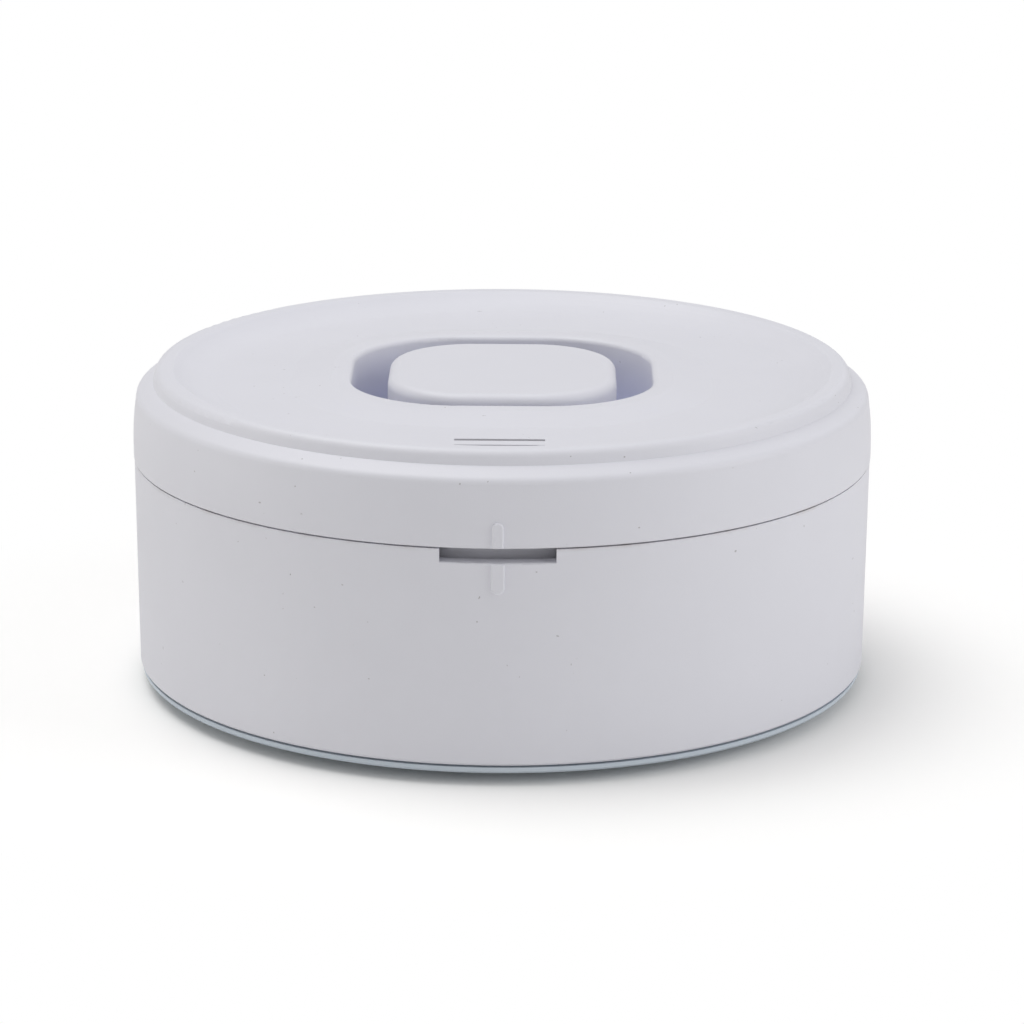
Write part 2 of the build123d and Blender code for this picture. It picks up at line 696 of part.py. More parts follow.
with BuildPart() as light_receiver:
    with BuildSketch(optic_plane(optic_angles[1], optic_tip_distance)):
        Circle(optic_radius)
    extrude(amount=optic_body_length)
    fillet(light_receiver.edges().filter_by(GeomType.CIRCLE).sort_by_distance(
        (0, chamber_y, optic_axis_height))[0], optic_dome)
    for side in (-1, 1):
        x, y = at_angle(optic_lead_distance, optic_angles[1])
        with BuildSketch(Plane.XY.offset(board_top)):
            with Locations(Location((x, chamber_y + y, 0), (0, 0, optic_angles[1]))):
                with Locations((0, side * lead_spacing / 2)):
                    Rectangle(lead_size, lead_size)
        extrude(amount=optic_axis_height - board_top)
light_receiver.part.label = "light_receiver"

with BuildPart() as receiver_shield:
    with BuildSketch(Plane.XY.offset(board_top)):
        with Locations(shield_place):
            Rectangle(shield_size[0], shield_size[1])
    extrude(amount=shield_size[2])
    fillet(receiver_shield.edges().filter_by(Axis.Z), shield_corner)
    offset(amount=-shield_sheet, openings=receiver_shield.faces().sort_by(Axis.Z)[0])
receiver_shield.part.label = "receiver_shield"

# --- sounder: resonator, clamp, brass disc, ceramic and spring contacts ---------------------------
with BuildPart() as sounder_horn:
    with BuildSketch(Plane.XY.offset(board_top)):
        with Locations(sounder_place):
            Circle(sounder_radius)
    extrude(amount=sounder_height)
    fillet(sounder_horn.edges().group_by(Axis.Z)[-1], sounder_wall / 2)
    with BuildSketch(Plane.XY.offset(board_top)):
        with Locations(sounder_place):
            Circle(sounder_radius - sounder_wall)
    extrude(amount=disc_top - board_top, mode=Mode.SUBTRACT)
    with BuildSketch(Plane.XY.offset(disc_top)):
        with Locations(sounder_place):
            Circle(disc_radius - disc_ledge)
    extrude(amount=sounder_top - sounder_wall - disc_top, mode=Mode.SUBTRACT)
    with BuildSketch(Plane.XY.offset(sounder_top)):
        with Locations(sounder_place):
            Circle(sounder_hole_radius)
    extrude(amount=-sounder_wall, mode=Mode.SUBTRACT)
sounder_horn.part.label = "sounder_horn"

with BuildPart() as sounder_clamp:
    with BuildSketch(Plane.XY.offset(board_top)):
        with Locations(sounder_place):
            Circle(sounder_radius - sounder_wall - seat_gap)
            Circle(disc_radius - disc_ledge, mode=Mode.SUBTRACT)
    extrude(amount=disc_height)
sounder_clamp.part.label = "sounder_clamp"

with BuildPart() as piezo_plate:
    with BuildSketch(Plane.XY.offset(disc_bottom)):
        with Locations(sounder_place):
            Circle(disc_radius)
    extrude(amount=disc_thickness)
piezo_plate.part.label = "piezo_plate"

with BuildPart() as piezo_ceramic:
    with BuildSketch(Plane.XY.offset(disc_bottom)):
        with Locations(sounder_place):
            Circle(ceramic_radius)
    extrude(amount=-ceramic_thickness)
piezo_ceramic.part.label = "piezo_ceramic"

with BuildPart() as sounder_contacts:
    for along, reach in contact_reaches:
        with BuildSketch(Plane.XY.offset(board_top)):
            with Locations((sounder_x + along, sounder_y)):
                Circle(2 * contact_radius)
        extrude(amount=contact_foot)
        with BuildSketch(Plane.XY.offset(board_top + contact_foot)):
            with Locations((sounder_x + along, sounder_y)):
                Circle(contact_radius)
        extrude(amount=reach - contact_foot)
sounder_contacts.part.label = "sounder_contacts"

# --- battery, its holder and contacts ----------------------------------------------------------------
with BuildPart() as battery_holder:
    with BuildSketch(Plane.XY.offset(holder_bottom)):
        with Locations(cell_place):
            Rectangle(holder_width, holder_length)
    extrude(amount=holder_side_height)
    with BuildSketch(Plane.XY.offset(board_top)):
        with Locations(cell_place):
            Rectangle(holder_width + 2 * holder_flange, holder_length + 2 * holder_flange)
    extrude(amount=holder_flange_thickness)
    with BuildSketch(Plane.XZ.offset(-cell_y - holder_inside_length / 2)):
        with Locations((cell_x, cell_axis_height)):
            Circle(cell_radius + seat_gap)
        with Locations((cell_x, cell_axis_height + holder_side_height / 2)):
            Rectangle(2 * (cell_radius + seat_gap), holder_side_height)
    extrude(amount=holder_inside_length, mode=Mode.SUBTRACT)
battery_holder.part.label = "battery_holder"

with BuildPart() as lithium_cell:
    with BuildSketch(Plane.XZ.offset(-cell_front)):
        with Locations((cell_x, cell_axis_height)):
            Circle(cell_radius)
    extrude(amount=-cell_length)
    fillet(lithium_cell.edges().filter_by(GeomType.CIRCLE), cell_edge_fillet)
    with BuildSketch(Plane.XZ.offset(-cell_front - cell_length)):
        with Locations((cell_x, cell_axis_height)):
            Circle(cell_nub_radius)
    extrude(amount=-cell_nub_length)
lithium_cell.part.label = "lithium_cell"

with BuildPart() as positive_contact:
    with BuildSketch(Plane.XZ.offset(-cell_y - holder_inside_length / 2)):
        with Locations((cell_x, cell_axis_height)):
            Rectangle(contact_plate, contact_plate)
    extrude(amount=contact_thickness)
positive_contact.part.label = "positive_contact"

with BuildPart() as negative_contact:
    with BuildSketch(Plane.XZ.offset(-cell_y + holder_inside_length / 2)):
        with Locations((cell_x, cell_axis_height)):
            Rectangle(contact_plate, contact_plate)
    extrude(amount=-contact_thickness)
    with BuildSketch(Plane.XZ.offset(-cell_y + holder_inside_length / 2 - contact_thickness)):
        with Locations((cell_x, cell_axis_height)):
            Circle(cell_nub_radius)
    extrude(amount=-contact_dimple, taper=contact_taper)
negative_contact.part.label = "negative_contact"

# --- parts soldered to the board -------------------------------------------------------------------
with BuildPart() as controller_chip:
    with BuildSketch(Plane.XY.offset(board_top)):
        with Locations(chip_place):
            Rectangle(chip_size[0], chip_size[1])
    extrude(amount=chip_size[2])
    chamfer(controller_chip.edges().group_by(Axis.Z)[-1], led_bevel)
controller_chip.part.label = "controller_chip"

with BuildPart() as boost_coil:
    with BuildSketch(Plane.XY.offset(board_top)):
        with Locations(coil_place):
            Circle(coil_radius)
    extrude(amount=coil_height)
    with BuildSketch(Plane.XY.offset(board_top + coil_flange)):
        with Locations(coil_place):
            Circle(coil_radius)
            Circle(coil_radius - coil_flange, mode=Mode.SUBTRACT)
    extrude(amount=coil_height - 2 * coil_flange, mode=Mode.SUBTRACT)
boost_coil.part.label = "boost_coil"

with BuildPart() as electrolytic_capacitors:
    with BuildSketch(Plane.XY.offset(board_top)):
        with Locations(*capacitor_places):
            Circle(capacitor_radius)
    extrude(amount=capacitor_height)
    fillet(electrolytic_capacitors.edges().group_by(Axis.Z)[-1], capacitor_rim_fillet)
electrolytic_capacitors.part.label = "electrolytic_capacitors"

with BuildPart() as chip_resistors:
    with BuildSketch(Plane.XY.offset(board_top)):
        with Locations(resistor_place):
            with GridLocations(resistor_pitch[0], resistor_pitch[1], 3, 4):
                Rectangle(resistor_size[0], resistor_size[1])
    extrude(amount=resistor_size[2])
chip_resistors.part.label = "chip_resistors"

with BuildPart() as chip_capacitors:
    with BuildSketch(Plane.XY.offset(board_top)):
        with Locations(ceramic_place):
            with GridLocations(resistor_pitch[1], resistor_pitch[0], 2, 3):
                Rectangle(ceramic_size[0], ceramic_size[1])
    extrude(amount=ceramic_size[2])
chip_capacitors.part.label = "chip_capacitors"

pieces = (mounting_plate, lower_housing, upper_cover, test_button, button_retainer, button_spring,
          status_lens, light_pipe, status_led, main_board, board_screws, test_switch,
          switch_plunger, chamber_base, insect_screen, chamber_cap, infrared_emitter,
          light_receiver, receiver_shield, sounder_horn, sounder_clamp, piezo_plate,
          piezo_ceramic, sounder_contacts, battery_holder, lithium_cell, positive_contact,
          negative_contact, controller_chip, boost_coil, electrolytic_capacitors,
          chip_resistors, chip_capacitors)

os.makedirs("parts", exist_ok=True)
for piece in pieces:
    export_step(piece.part, f"parts/{piece.part.label}.step")
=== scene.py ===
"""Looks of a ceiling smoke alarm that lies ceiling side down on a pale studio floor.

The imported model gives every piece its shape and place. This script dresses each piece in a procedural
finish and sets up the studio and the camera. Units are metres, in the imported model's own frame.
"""

import logging
import math
from dataclasses import dataclass, field
from enum import Enum

import bpy
from mathutils import Matrix, Vector


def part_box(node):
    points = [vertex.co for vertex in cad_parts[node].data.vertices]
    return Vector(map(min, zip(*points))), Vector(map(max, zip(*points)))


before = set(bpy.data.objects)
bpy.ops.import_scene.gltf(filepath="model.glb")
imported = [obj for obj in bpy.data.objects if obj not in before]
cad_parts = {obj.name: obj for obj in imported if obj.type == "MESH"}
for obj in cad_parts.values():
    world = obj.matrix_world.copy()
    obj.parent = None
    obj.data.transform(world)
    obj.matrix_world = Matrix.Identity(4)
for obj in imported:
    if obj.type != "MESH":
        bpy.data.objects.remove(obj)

LOG = logging.getLogger("smoke_alarm")
MM = 0.001
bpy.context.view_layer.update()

Colour = tuple[float, float, float]


class Space(Enum):
    """Coordinates that a texture can be laid in."""

    OBJECT = "Object"
    NORMAL = "Normal"


class Body(Enum):
    """Rigid bodies of the alarm."""

    BRACKET = "bracket"
    HOUSING = "housing"
    COVER = "cover"
    BUTTON = "button"
    PLUNGER = "plunger"


# --- node graphs --------------------------------------------------------------------------------


class Graph:
    """A material under construction, with short methods for the nodes that the finishes share."""

    def __init__(self, name: str) -> None:
        """Start an empty node material.

        Args:
            name: the material's name.
        """
        self.material = bpy.data.materials.new(name)
        self.material.use_nodes = True
        self.tree = self.material.node_tree
        self.tree.nodes.clear()
        self.output = self.tree.nodes.new("ShaderNodeOutputMaterial")
        self.coordinates = self.tree.nodes.new("ShaderNodeTexCoord")

    def node(self, kind: str, **settings: object) -> bpy.types.Node:
        """Add a node and set its attributes.

        Args:
            kind: Blender's type name of the node.
            **settings: attribute names and values.

        Returns:
            The new node.
        """
        made = self.tree.nodes.new(kind)
        for name, value in settings.items():
            setattr(made, name, value)
        return made

    def link(self, source: bpy.types.NodeSocket, target: bpy.types.NodeSocket) -> None:
        """Join two sockets."""
        self.tree.links.new(source, target)

    def place(self, scale: tuple[float, float, float] = (1, 1, 1)) -> bpy.types.NodeSocket:
        """Object coordinates in metres, stretched.

        Args:
            scale: factor along each axis.

        Returns:
            The stretched coordinate socket.
        """
        mapping = self.node("ShaderNodeMapping")
        mapping.inputs["Scale"].default_value = scale
        self.link(self.coordinates.outputs[Space.OBJECT.value], mapping.inputs["Vector"])
        return mapping.outputs["Vector"]

    def noise(self, grain: float, detail: float = 2.0, rough: float = 0.5,
              stretch: tuple[float, float, float] = (1, 1, 1)) -> bpy.types.NodeSocket:
        """Noise with features of about one size.

        Args:
            grain: feature size in metres.
            detail: octaves.
            rough: share that each finer octave keeps.
            stretch: factor along each axis.

        Returns:
            A value socket from 0 to 1.
        """
        made = self.node("ShaderNodeTexNoise")
        made.inputs["Scale"].default_value = 1.0 / grain
        made.inputs["Detail"].default_value = detail
        made.inputs["Roughness"].default_value = rough
        self.link(self.place(stretch), made.inputs["Vector"])
        return made.outputs["Fac"]

    def remap(self, value: bpy.types.NodeSocket, low: float, high: float,
              to_low: float, to_high: float) -> bpy.types.NodeSocket:
        """Carry one range of values to another, held at its ends.

        Args:
            value: socket to read.
            low: value that becomes to_low.
            high: value that becomes to_high.
            to_low: lowest result.
            to_high: highest result.

        Returns:
            The carried value.
        """
        made = self.node("ShaderNodeMapRange", clamp=True)
        made.inputs["From Min"].default_value = low
        made.inputs["From Max"].default_value = high
        made.inputs["To Min"].default_value = to_low
        made.inputs["To Max"].default_value = to_high
        self.link(value, made.inputs["Value"])
        return made.outputs["Result"]

    def math(self, operation: str, first: bpy.types.NodeSocket,
             second: bpy.types.NodeSocket | float) -> bpy.types.NodeSocket:
        """One arithmetic step.

        Args:
            operation: Blender's name of the operation.
            first: left-hand socket.
            second: right-hand socket or number.

        Returns:
            The result socket.
        """
        made = self.node("ShaderNodeMath", operation=operation)
        self.link(first, made.inputs[0])
        if isinstance(second, (int, float)):
            made.inputs[1].default_value = second
        else:
            self.link(second, made.inputs[1])
        return made.outputs[0]

    def blend(self, factor: bpy.types.NodeSocket, first: "bpy.types.NodeSocket | Colour",
              second: "bpy.types.NodeSocket | Colour") -> bpy.types.NodeSocket:
        """Mix two colours.

        Args:
            factor: share of the second colour.
            first: colour or socket at factor 0.
            second: colour or socket at factor 1.

        Returns:
            The mixed colour socket.
        """
        made = self.node("ShaderNodeMix", data_type="RGBA")
        self.link(factor, made.inputs["Factor"])
        for name, colour in (("A", first), ("B", second)):
            socket = [s for s in made.inputs if s.name == name and s.type == "RGBA"][0]
            if isinstance(colour, tuple):
                socket.default_value = (*colour, 1.0)
            else:
                self.link(colour, socket)
        return [s for s in made.outputs if s.type == "RGBA"][0]

    def bump(self, height: bpy.types.NodeSocket, depth: float,
             strength: float = 1.0) -> bpy.types.NodeSocket:
        """Surface relief.

        Args:
            height: value socket from 0 to 1.
            depth: relief in metres for a height of 1.
            strength: share of the relief that shows.

        Returns:
            A normal socket.
        """
        made = self.node("ShaderNodeBump")
        made.inputs["Strength"].default_value = strength
        made.inputs["Distance"].default_value = depth
        self.link(height, made.inputs["Height"])
        return made.outputs["Normal"]

    def shader(self, **sockets: "bpy.types.NodeSocket | float | Colour") -> bpy.types.Material:
        """Close the graph with a principled shader.

        Args:
            **sockets: socket names with underscores for spaces, and constants or sockets for them.

        Returns:
            The finished material.
        """
        made = self.node("ShaderNodeBsdfPrincipled")
        for name, value in sockets.items():
            socket = made.inputs[name.replace("_", " ")]
            if isinstance(value, bpy.types.NodeSocket):
                self.link(value, socket)
            elif isinstance(value, tuple):
                socket.default_value = (*value, 1.0)
            else:
                socket.default_value = value
        self.link(made.outputs["BSDF"], self.output.inputs["Surface"])
        return self.material


# --- finishes -----------------------------------------------------------------------------------


@dataclass(frozen=True)
class SeamGrime:
    """Faint dirt that hands and handling leave along a seam.

    Attributes:
        height: Z of the seam in metres.
        spread: distance over which the dirt fades.
        colour: colour of the dirt.
        amount: share of the dirt where it is thickest.
    """

    height: float
    spread: float = 0.5 * MM
    colour: Colour = (0.42, 0.36, 0.32)
    amount: float = 0.35


@dataclass(frozen=True)
class PaintedRecessShade:
    """Painted shade: a cooler, darker colour laid on the plastic deep in a recess, in place of the shade
    that falls there.

    Attributes:
        reach: half width of the recess in metres.
        top: Z where the painted shade starts.
        bottom: Z where it is full.
        colour: painted shade colour at the bottom.
    """

    reach: float
    top: float
    bottom: float
    colour: Colour = (0.74, 0.76, 0.92)


@dataclass(frozen=True)
class MouldedPlastic:
    """Moulded plastic with a fine spark-eroded grain, a little mottling and a few dark specks.

    Attributes:
        name: material name.
        colour: main colour.
        roughness: middle roughness.
        grain: size of the grain in metres.
        relief: depth of the grain in metres.
        mottle: share of slow colour change.
        specks: share of the surface under dark specks.
        grime: dirt along a seam, if any.
        painted_recess_shade: painted shade, a cooler and darker colour deep in a recess, if any.
    """

    name: str
    colour: Colour
    roughness: float = 0.5
    grain: float = 0.22 * MM
    relief: float = 0.012 * MM
    mottle: float = 0.02
    specks: float = 0.0
    grime: SeamGrime | None = None
    painted_recess_shade: PaintedRecessShade | None = None

    def material(self) -> bpy.types.Material:
        """Build the node material."""
        graph = Graph(self.name)
        slow = graph.noise(14 * MM, 3.0)
        light = tuple(min(1.0, channel * (1 + self.mottle)) for channel in self.colour)
        dark = tuple(channel * (1 - self.mottle) for channel in self.colour)
        colour = graph.blend(slow, dark, light)
        if self.specks:
            speck = graph.remap(graph.noise(0.55 * MM, 0.0), 1 - self.specks, 1.02 - self.specks, 0, 1)
            rare = graph.remap(graph.noise(7 * MM, 0.0), 0.60, 0.63, 0, 0.6)
            colour = graph.blend(graph.math("MULTIPLY", speck, rare), colour, (0.34, 0.32, 0.33))
        if self.grime:
            height = graph.node("ShaderNodeSeparateXYZ")
            graph.link(graph.place(), height.inputs[0])
            away = graph.math("ABSOLUTE", graph.math("SUBTRACT", height.outputs["Z"],
                                                     self.grime.height), 0.0)
            near = graph.remap(away, 0.0, self.grime.spread, self.grime.amount, 0.0)
            patchy = graph.remap(graph.noise(6 * MM, 4.0, 0.65), 0.42, 0.68, 0.0, 1.0)
            colour = graph.blend(graph.math("MULTIPLY", near, patchy), colour, self.grime.colour)
        # Painted shade: the plastic turns cooler and darker towards the bottom of the inlet well,
        # standing in for the shade in the recess.
        if self.painted_recess_shade:
            parts = graph.node("ShaderNodeSeparateXYZ")
            graph.link(graph.place(), parts.inputs[0])
            deep = graph.remap(parts.outputs["Z"], self.painted_recess_shade.bottom, self.painted_recess_shade.top, 1.0, 0.0)
            for axis in "XY":
                away = graph.math("ABSOLUTE", parts.outputs[axis], 0.0)
                inside = graph.math("LESS_THAN", away, self.painted_recess_shade.reach)
                deep = graph.math("MULTIPLY", deep, inside)
            colour = graph.blend(deep, colour, self.painted_recess_shade.colour)
        fine = graph.noise(self.grain, 2.0, 0.6)
        rough = graph.remap(fine, 0.3, 0.7, self.roughness - 0.05, self.roughness + 0.05)
        return graph.shader(Base_Color=colour, Roughness=rough, IOR=1.5,
                            Normal=graph.bump(fine, self.relief))


@dataclass(frozen=True)
class PlatedMetal:
    """Plated or rolled sheet metal with fine rolling lines.

    Attributes:
        name: material name.
        colour: main colour.
        roughness: middle roughness.
        line: width of a rolling line in metres.
        along: axis that the lines follow, 0 for X, 1 for Y or 2 for Z.
    """

    name: str
    colour: Colour
    roughness: float = 0.28
    line: float = 0.08 * MM
    along: int = 0

    def material(self) -> bpy.types.Material:
        """Build the node material."""
        graph = Graph(self.name)
        stretch = tuple(0.04 if axis == self.along else 1.0 for axis in range(3))
        lines = graph.noise(self.line, 3.0, 0.6, stretch)
        cloud = graph.noise(2 * MM, 3.0)
        dull = tuple(channel * 0.82 for channel in self.colour)
        colour = graph.blend(cloud, dull, self.colour)
        rough = graph.remap(lines, 0.3, 0.7, self.roughness - 0.07, self.roughness + 0.1)
        return graph.shader(Base_Color=colour, Metallic=1.0, Roughness=rough,
                            Normal=graph.bump(lines, 0.002 * MM))


@dataclass(frozen=True)
class SolderMask:
    """Circuit board laminate under solder mask, with its copper tracks showing as lighter bands.

    Attributes:
        name: material name.
        mask: colour over bare laminate.
        track: colour over copper.
        pitch: spacing of the tracks in metres.
    """

    name: str
    mask: Colour = (0.012, 0.085, 0.035)
    track: Colour = (0.03, 0.17, 0.075)
    pitch: float = 2.4 * MM

    def material(self) -> bpy.types.Material:
        """Build the node material."""
        graph = Graph(self.name)
        cells = graph.node("ShaderNodeTexVoronoi", feature="DISTANCE_TO_EDGE", distance="CHEBYCHEV")
        cells.inputs["Scale"].default_value = 1.0 / self.pitch
        graph.link(graph.place((0.5, 1.0, 1.0)), cells.inputs["Vector"])
        tracks = graph.remap(cells.outputs["Distance"], 0.06, 0.09, 1.0, 0.0)
        colour = graph.blend(tracks, self.mask, self.track)
        weave = graph.noise(0.4 * MM, 2.0)
        rough = graph.remap(weave, 0.3, 0.7, 0.22, 0.34)
        relief = graph.math("ADD", tracks, graph.math("MULTIPLY", weave, 0.2))
        return graph.shader(Base_Color=colour, Roughness=rough, IOR=1.52,
                            Normal=graph.bump(relief, 0.03 * MM))


@dataclass(frozen=True)
class ClearPlastic:
    """Clear or tinted moulded plastic, faintly hazed.

    Attributes:
        name: material name.
        colour: tint of the light that passes.
        transmission: share of light that passes.
        roughness: middle roughness.
    """

    name: str
    colour: Colour
    transmission: float = 1.0
    roughness: float = 0.12

    def material(self) -> bpy.types.Material:
        """Build the node material."""
        graph = Graph(self.name)
        haze = graph.noise(1.2 * MM, 3.0)
        dull = tuple(channel * 0.9 for channel in self.colour)
        return graph.shader(Base_Color=graph.blend(haze, dull, self.colour),
                            Roughness=graph.remap(haze, 0.3, 0.7, self.roughness * 0.6,
                                                  self.roughness * 1.5),
                            Transmission_Weight=self.transmission, IOR=1.49)


class Finishes:
    """Every finish of the alarm, built once and shared by the pieces that use it."""

    def __init__(self, seam: float, recess: PaintedRecessShade) -> None:
        """Build the materials.

        Args:
            seam: Z of the seam between housing and cover.
            recess: painted shade of the smoke inlet well.
        """
        shell = (0.785, 0.785, 0.845)
        grime = SeamGrime(seam)
        # The cover's plastic carries the painted shade of the inlet well.
        self.cover = MouldedPlastic("cover_plastic", shell, 0.46, specks=0.17, grime=grime,
                                    painted_recess_shade=recess).material()
        self.housing = MouldedPlastic("housing_plastic", shell, 0.5, specks=0.17,
                                      grime=grime).material()
        self.button = MouldedPlastic("button_plastic", shell, 0.44).material()
        self.bracket = MouldedPlastic("bracket_plastic", (0.60, 0.67, 0.74), 0.42,
                                      grain=0.35 * MM).material()
        self.black = MouldedPlastic("chamber_black", (0.018, 0.018, 0.02), 0.62,
                                    relief=0.03 * MM).material()
        self.natural = MouldedPlastic("natural_plastic", (0.62, 0.61, 0.57), 0.4).material()
        self.switch = MouldedPlastic("switch_black", (0.03, 0.03, 0.033), 0.4).material()
        self.chip = MouldedPlastic("chip_moulding", (0.022, 0.022, 0.025), 0.55,
                                   relief=0.02 * MM).material()
        self.ceramic = MouldedPlastic("fired_ceramic", (0.40, 0.31, 0.22), 0.45).material()
        self.ferrite = MouldedPlastic("ferrite", (0.05, 0.05, 0.055), 0.5).material()
        self.sleeve = MouldedPlastic("cell_sleeve", (0.05, 0.10, 0.26), 0.3, mottle=0.06).material()
        self.lamp = MouldedPlastic("lamp_body", (0.82, 0.79, 0.68), 0.3).material()
        self.steel = PlatedMetal("plated_steel", (0.62, 0.62, 0.63)).material()
        self.brass = PlatedMetal("rolled_brass", (0.78, 0.60, 0.30), 0.25).material()
        self.silvered = PlatedMetal("silvered_ceramic", (0.78, 0.77, 0.74), 0.42, 0.3 * MM).material()
        self.can = PlatedMetal("capacitor_can", (0.66, 0.67, 0.69), 0.3).material()
        self.board = SolderMask("solder_mask").material()
        self.window = ClearPlastic("smoked_window", (0.16, 0.13, 0.12), 0.35, 0.25).material()
        self.clear = ClearPlastic("clear_acrylic", (0.93, 0.95, 0.96)).material()
        self.infrared = ClearPlastic("infrared_epoxy", (0.05, 0.02, 0.05), 0.3, 0.15).material()


# --- sub-assemblies ------------------------------------------------------------------------------


def dress(node: str, material: bpy.types.Material) -> None:
    """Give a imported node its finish.

    Args:
        node: name of the node.
        material: finish for every one of its slots.
    """
    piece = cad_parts[node]
    if not piece.material_slots:
        piece.data.materials.append(material)
    for slot in piece.material_slots:
        slot.material = material
    LOG.info("dressed %s in %s", node, material.name)


@dataclass
class Casing:
    """Cover, housing and bracket: what is seen from outside."""

    finishes: Finishes

    def build(self) -> None:
        """Dress the three mouldings."""
        dress("upper_cover", self.finishes.cover)
        dress("lower_housing", self.finishes.housing)
        dress("mounting_plate", self.finishes.bracket)


@dataclass
class PressButton:
    """Test button with its spring, retaining ring and switch."""

    finishes: Finishes

    def build(self) -> None:
        """Dress the button train from cap to switch."""
        dress("test_button", self.finishes.button)
        dress("button_retainer", self.finishes.steel)
        dress("button_spring", self.finishes.steel)
        dress("test_switch", self.finishes.switch)
        dress("switch_plunger", self.finishes.natural)


@dataclass
class StatusLight:
    """Window behind the slits, light pipe and lamp."""

    finishes: Finishes

    def build(self) -> None:
        """Dress the light path."""
        dress("status_lens", self.finishes.window)
        dress("light_pipe", self.finishes.clear)
        dress("status_led", self.finishes.lamp)


@dataclass
class OpticalChamber:
    """Light trap, insect screen and the pair of optics."""

    finishes: Finishes

    def build(self) -> None:
        """Dress the chamber."""
        dress("chamber_base", self.finishes.black)
        dress("chamber_cap", self.finishes.black)
        dress("insect_screen", self.finishes.steel)
        dress("infrared_emitter", self.finishes.infrared)
        dress("light_receiver", self.finishes.infrared)


@dataclass
class Sounder:
    """Resonator, clamp, brass disc with its ceramic, and spring contacts."""

    finishes: Finishes

    def build(self) -> None:
        """Dress the sounder."""
        dress("sounder_horn", self.finishes.natural)
        dress("sounder_clamp", self.finishes.natural)
        dress("piezo_plate", self.finishes.brass)
        dress("piezo_ceramic", self.finishes.silvered)
        dress("sounder_contacts", self.finishes.steel)


@dataclass
class BatteryPack:
    """Lithium cell in its holder, between two contacts."""

    finishes: Finishes

    def build(self) -> None:
        """Dress the battery pack."""
        dress("battery_holder", self.finishes.black)
        dress("lithium_cell", self.finishes.sleeve)
        dress("positive_contact", self.finishes.steel)
        dress("negative_contact", self.finishes.steel)


@dataclass
class CircuitBoard:
    """Board, screws and what is soldered to it."""

    finishes: Finishes

    def build(self) -> None:
        """Dress the board and its parts."""
        dress("main_board", self.finishes.board)
        dress("board_screws", self.finishes.steel)
        dress("controller_chip", self.finishes.chip)
        dress("chip_resistors", self.finishes.chip)
        dress("chip_capacitors", self.finishes.ceramic)
        dress("boost_coil", self.finishes.ferrite)
        dress("electrolytic_capacitors", self.finishes.can)
        dress("receiver_shield", self.finishes.steel)


# --- studio --------------------------------------------------------------------------------------


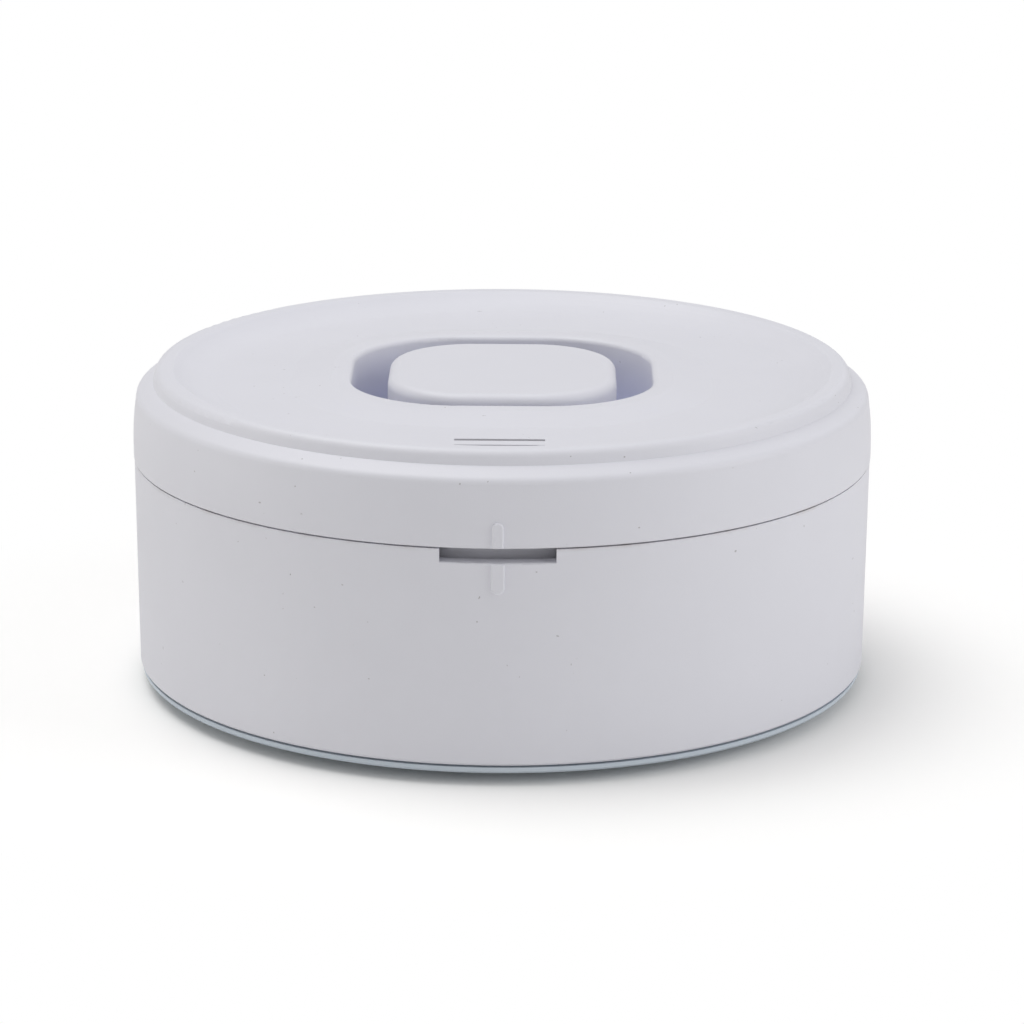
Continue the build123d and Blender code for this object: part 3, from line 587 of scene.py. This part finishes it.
@dataclass
class Studio:
    """Pale floor, white surroundings and large soft lamps.

    Attributes:
        floor_size: side of the square floor.
        surround: strength of the light from all round.
        key: power of the soft box overhead, a little to the left.
        side: power of the upright panel on the right.
        warm_side: power of the warmer panel on the left.
        floor_colour: colour of the floor as the alarm sees it.
        floor_gain: how much whiter the floor looks to the camera than to the alarm.
        shade_start: distance from the turning axis where the floor starts to clear to white.
        shade_end: distance where it is plain white.
        floor_drop: the floor lies this far under the bracket, for a crisp contact shadow.
    """

    floor_size: float = 6.0
    surround: float = 0.47
    key: float = 4.35
    side: float = 3.3
    warm_side: float = 0.8
    floor_gain: float = 1.3
    floor_colour: Colour = (0.86, 0.855, 0.845)
    floor_drop: float = 1.8 * MM
    shade_start: float = 60 * MM
    shade_end: float = 105 * MM

    def floor(self) -> bpy.types.Object:
        """Make the floor, white to the camera and lit by shadow where the alarm stands."""
        bpy.ops.mesh.primitive_plane_add(size=self.floor_size, location=(0, 0, -self.floor_drop))
        floor = bpy.context.object
        floor.name = "studio_floor"
        graph = Graph("studio_floor")
        path = graph.node("ShaderNodeLightPath")
        bright = tuple(self.floor_gain * channel for channel in self.floor_colour)
        diffuse = graph.node("ShaderNodeBsdfDiffuse")
        graph.link(graph.blend(path.outputs["Is Camera Ray"], self.floor_colour, bright),
                   diffuse.inputs["Color"])
        white = graph.node("ShaderNodeEmission")
        away = graph.node("ShaderNodeVectorMath", operation="LENGTH")
        graph.link(graph.place(), away.inputs[0])
        far = graph.remap(away.outputs["Value"], self.shade_start, self.shade_end, 0.0, 1.0)
        mix = graph.node("ShaderNodeMixShader")
        graph.link(graph.math("MULTIPLY", far, path.outputs["Is Camera Ray"]), mix.inputs[0])
        graph.link(diffuse.outputs[0], mix.inputs[1])
        graph.link(white.outputs[0], mix.inputs[2])
        graph.link(mix.outputs[0], graph.output.inputs["Surface"])
        floor.data.materials.append(graph.material)
        return floor

    def world(self) -> None:
        """White surroundings: plain light on the alarm, pure white behind it."""
        world = bpy.data.worlds.new("studio")
        bpy.context.scene.world = world
        world.use_nodes = True
        tree = world.node_tree
        tree.nodes.clear()
        output = tree.nodes.new("ShaderNodeOutputWorld")
        path = tree.nodes.new("ShaderNodeLightPath")
        light = tree.nodes.new("ShaderNodeBackground")
        light.inputs["Color"].default_value = (1.0, 1.0, 1.0, 1)
        light.inputs["Strength"].default_value = self.surround
        white = tree.nodes.new("ShaderNodeBackground")
        white.inputs["Strength"].default_value = 1.0
        mix = tree.nodes.new("ShaderNodeMixShader")
        tree.links.new(path.outputs["Is Camera Ray"], mix.inputs[0])
        tree.links.new(light.outputs[0], mix.inputs[1])
        tree.links.new(white.outputs[0], mix.inputs[2])
        tree.links.new(mix.outputs[0], output.inputs[0])

    def lamp(self, name: str, place: Vector, aim: Vector, size: float, power: float,
             colour: Colour = (1, 1, 1)) -> bpy.types.Object:
        """Hang a square soft box.

        Args:
            name: name of the lamp.
            place: where it hangs.
            aim: the point it faces.
            size: side of the box.
            power: watts.
            colour: colour of its light.

        Returns:
            The lamp object.
        """
        data = bpy.data.lights.new(name, "AREA")
        data.shape = "SQUARE"
        data.size = size
        data.energy = power
        data.color = colour
        lamp = bpy.data.objects.new(name, data)
        lamp.location = place
        lamp.rotation_euler = (aim - place).to_track_quat("-Z", "Y").to_euler()
        bpy.context.scene.collection.objects.link(lamp)
        return lamp

    def build(self) -> None:
        """Set up floor, surroundings and lamps."""
        self.floor()
        self.world()
        middle = Vector((0, 0, 0.02))
        self.lamp("key", Vector((-0.34, 0.12, 0.95)), middle, 0.7, self.key)
        self.lamp("side_panel", Vector((1.0, -0.25, 0.42)), middle, 0.7, self.side)
        self.lamp("warm_panel", Vector((-1.1, -0.15, 0.25)), middle, 0.5, self.warm_side,
                  (1.0, 0.95, 0.80))
        bpy.context.scene.view_settings.view_transform = "Standard"
        LOG.info("studio is lit")


@dataclass
class Camera:
    """Long lens on a tripod in front of the alarm, level with the eye of someone standing back.

    Attributes:
        reach: distance from the turning axis, in body radii.
        rise: height over the floor, in body radii.
        turn: how far the camera stands round to the right of the slot, in degrees.
        yaw: aim to the right of the turning axis, in radians.
        pitch: aim below the horizon, in radians.
        roll: roll of the camera, in radians.
        lens: focal length in millimetres on a 36 mm wide sensor.
    """

    radius: float
    reach: float = 10.547
    rise: float = 3.3645
    turn: float = 0.58
    yaw: float = 0.0026
    pitch: float = 0.273
    roll: float = 0.0046
    lens: float = 140.625

    def build(self) -> bpy.types.Object:
        """Place the camera and make it the scene's own."""
        forward = Vector((math.sin(self.yaw) * math.cos(self.pitch),
                          math.cos(self.yaw) * math.cos(self.pitch), -math.sin(self.pitch)))
        level = forward.cross(Vector((0, 0, 1))).normalized()
        upward = level.cross(forward)
        right = level * math.cos(self.roll) + upward * math.sin(self.roll)
        up = upward * math.cos(self.roll) - level * math.sin(self.roll)
        pose = Matrix((right, up, -forward)).transposed().to_4x4()
        pose.translation = Vector((0, -self.reach, self.rise)) * self.radius
        data = bpy.data.cameras.new("camera")
        data.lens = self.lens
        data.sensor_width = 36.0
        data.clip_end = 50.0
        camera = bpy.data.objects.new("camera", data)
        camera.matrix_world = Matrix.Rotation(math.radians(self.turn), 4, "Z") @ pose
        bpy.context.scene.collection.objects.link(camera)
        bpy.context.scene.camera = camera
        return camera


def main() -> None:
    """Dress the alarm, light it and frame it."""
    logging.basicConfig(level=logging.INFO, format="%(name)s: %(message)s")
    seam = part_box("lower_housing")[1].z
    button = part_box("test_button")
    # Painted shade in the smoke inlet well, from just under the button's top to 8 mm lower.
    recess = PaintedRecessShade(button[1].x * 1.33, button[1].z - 0.5 * MM, button[1].z - 8 * MM)
    finishes = Finishes(seam, recess)
    for assembly in (Casing, PressButton, StatusLight, OpticalChamber, Sounder, BatteryPack,
                     CircuitBoard):
        assembly(finishes).build()
    Studio().build()
    Camera(radius=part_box("upper_cover")[1].x).build()


if __name__ == "__main__":
    main()
